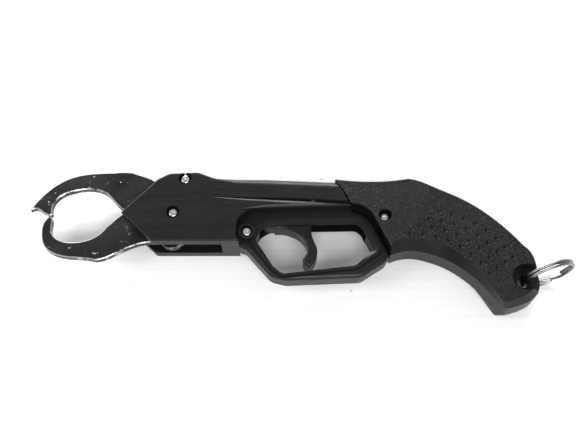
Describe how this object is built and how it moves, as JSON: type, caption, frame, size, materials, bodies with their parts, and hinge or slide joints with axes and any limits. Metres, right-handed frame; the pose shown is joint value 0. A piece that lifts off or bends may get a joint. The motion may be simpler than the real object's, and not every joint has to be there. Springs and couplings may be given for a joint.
{
  "type": "pistol lip grip",
  "caption": "Pistol-shaped fish lip grip with two hooked jaws opened by a sliding finger trigger, a curved dimpled handle and a lanyard ring.",
  "frame": {"origin": "foot of the lower jaw's pivot axis on the flat outer face of the right body shell, which the tool lies on", "axes": "+X along the barrel towards the handle, +Y towards the tool's back, +Z through its thickness from the right side to the left side"},
  "size_m": [0.26, 0.0714, 0.0268],
  "materials": {
    "shell_plastic": "satin moulded, fine grain",
    "grip_plastic": "stippled",
    "trigger_plastic": "semi-gloss moulded",
    "jaw_coating": "black coating worn bright at the edges",
    "steel": "bright stainless",
    "ring_nickel": "polished nickel",
    "brass": "turned",
    "washer_plastic": "moulded"
  },
  "bodies": {
    "frame_body": {"left_body_shell": "shell_plastic", "right_body_shell": "shell_plastic", "left_grip_shell": "grip_plastic", "right_grip_shell": "grip_plastic", "pivot_sleeves": "steel", "jaw_washers": "washer_plastic", "pivot_screws": "steel", "guard_screw": "steel", "grip_screw": "steel", "threaded_inserts": "brass", "dowel_pin": "steel", "spring_seat": "steel", "rod_bush": "brass", "return_spring": "steel"},
    "slide_body": {"trigger": "trigger_plastic", "trigger_pins": "steel", "slide_yoke": "steel", "cam_pin": "steel", "cam_pin_clips": "steel", "guide_rod": "steel", "rod_nut": "steel", "spring_collar": "steel"},
    "lower_jaw_body": {"lower_jaw": "jaw_coating"},
    "upper_jaw_body": {"upper_jaw": "jaw_coating"},
    "ring_body": {"split_ring": "ring_nickel"}
  },
  "joints": [
    {"name": "trigger_slide", "type": "slide", "parent": "frame_body", "child": "slide_body", "axis": [1, 0, 0], "range_m": [0, 0.016], "stiffness_N_per_m": 250, "springref_m": -0.008, "deforming": ["return_spring"]},
    {"name": "lower_jaw_swing", "type": "hinge", "parent": "frame_body", "child": "lower_jaw_body", "pos_m": [0, 0, 0.0105], "axis": [0, 0, 1], "range_deg": [0, 18]},
    {"name": "upper_jaw_swing", "type": "hinge", "parent": "frame_body", "child": "upper_jaw_body", "pos_m": [0.0051, 0.0176, 0.0105], "axis": [0, 0, 1], "range_deg": [-18, 0]},
    {"name": "ring_swing", "type": "hinge", "parent": "frame_body", "child": "ring_body", "pos_m": [0.1646, -0.0326, 0.0125], "axis": [0, 0, 1], "range_deg": [-50, 16]}
  ],
  "couplings": [
    {"joint": "lower_jaw_swing", "follows": "trigger_slide", "rad_per_m": 19.634},
    {"joint": "upper_jaw_swing", "follows": "trigger_slide", "rad_per_m": -19.634}
  ]
}
